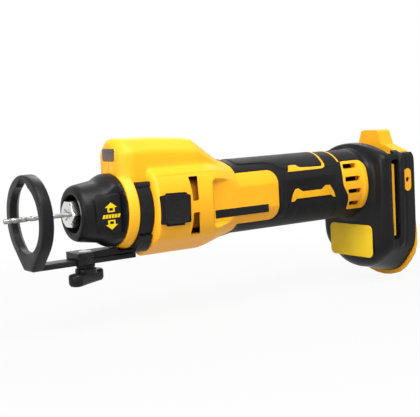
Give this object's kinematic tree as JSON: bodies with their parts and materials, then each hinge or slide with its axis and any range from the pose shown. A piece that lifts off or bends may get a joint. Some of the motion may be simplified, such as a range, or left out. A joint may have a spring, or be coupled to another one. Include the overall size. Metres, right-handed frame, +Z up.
{
  "type": "cordless drywall cut-out tool",
  "caption": "Cordless rotary cut-out tool: rubber grip, lamp tower, collet with a spiral bit, sliding depth guide and a battery foot closed by a terminal cap.",
  "frame": {"origin": "where the spindle's axis meets the rear face of the terminal cap", "axes": "-X along the spindle toward the bit, +Z up past the lamp tower, the pictured side is -Y"},
  "size_m": [0.3164, 0.072, 0.1205],
  "materials": {
    "yellow_plastic": "moulded yellow, fine texture",
    "black_rubber": "soft black overmould",
    "black_plastic": "moulded black, fine texture",
    "steel": "bright machined steel",
    "iron": "laminated core",
    "aluminium": "cast, machined seats",
    "copper": "enamelled wire and plated blades",
    "board": "circuit board",
    "felt": "felt",
    "lens": "clear window",
    "label": "bare printed film"
  },
  "bodies": {
    "housing": {"housing_left": "yellow_plastic", "housing_right": "yellow_plastic", "grip_left": "black_rubber", "grip_right": "black_rubber", "foot_left": "black_plastic", "foot_right": "black_plastic", "housing_screws": "steel", "lamp_lens": "lens", "lamp_board": "board", "bearing_carrier": "aluminium", "dust_seal": "felt", "collar_ring": "steel", "front_bearing": "steel", "rear_bearing": "steel", "stator_core": "iron", "stator_coils": "copper", "sensor_board": "board", "button_frame_left": "black_plastic", "button_frame_right": "black_plastic", "switch_left": "board", "switch_right": "board", "control_module": "aluminium", "phase_leads": "black_plastic", "battery_leads": "black_plastic", "terminal_block": "black_plastic", "terminal_blades": "copper", "anchor_left": "yellow_plastic", "anchor_right": "yellow_plastic", "rating_plate": "label", "badge_left": "label", "badge_right": "label", "guide_clip": "black_plastic", "clamp_nut": "steel"},
    "spindle": {"spindle": "steel", "rotor": "iron", "fan": "black_plastic", "collet": "steel", "collet_nut": "steel", "cutting_bit": "steel", "front_race": "steel", "rear_race": "steel"},
    "collar": {"lock_collar": "black_plastic"},
    "button_left": {"button_left": "black_rubber"},
    "button_right": {"button_right": "black_rubber"},
    "guide": {"guide_ring": "black_plastic"},
    "knob": {"guide_knob": "black_plastic", "clamp_screw": "steel"},
    "cap": {"terminal_cap": "yellow_plastic"}
  },
  "joints": [
    {"name": "spindle_spin", "type": "hinge", "parent": "housing", "child": "spindle", "pos_m": [-0.25, 0, 0], "axis": [1, 0, 0], "continuous": true},
    {"name": "collar_twist", "type": "hinge", "parent": "housing", "child": "collar", "pos_m": [-0.25, 0, 0], "axis": [1, 0, 0], "range_deg": [0, 35]},
    {"name": "button_left_press", "type": "slide", "parent": "housing", "child": "button_left", "axis": [0, 1, 0], "range_m": [0, 0.0012], "stiffness_N_per_m": 2000, "springref_m": -0.001},
    {"name": "button_right_press", "type": "slide", "parent": "housing", "child": "button_right", "axis": [0, -1, 0], "range_m": [0, 0.0012], "stiffness_N_per_m": 2000, "springref_m": -0.001},
    {"name": "guide_slide", "type": "slide", "parent": "housing", "child": "guide", "axis": [-1, 0, 0], "range_m": [-0.003, 0.028]},
    {"name": "knob_turn", "type": "hinge", "parent": "housing", "child": "knob", "pos_m": [-0.26385, 0, -0.035], "axis": [0, 0, 1], "range_deg": [0, 270]},
    {"name": "cap_lift", "type": "slide", "parent": "housing", "child": "cap", "axis": [0, 0, 1], "range_m": [0, 0.095]}
  ]
}
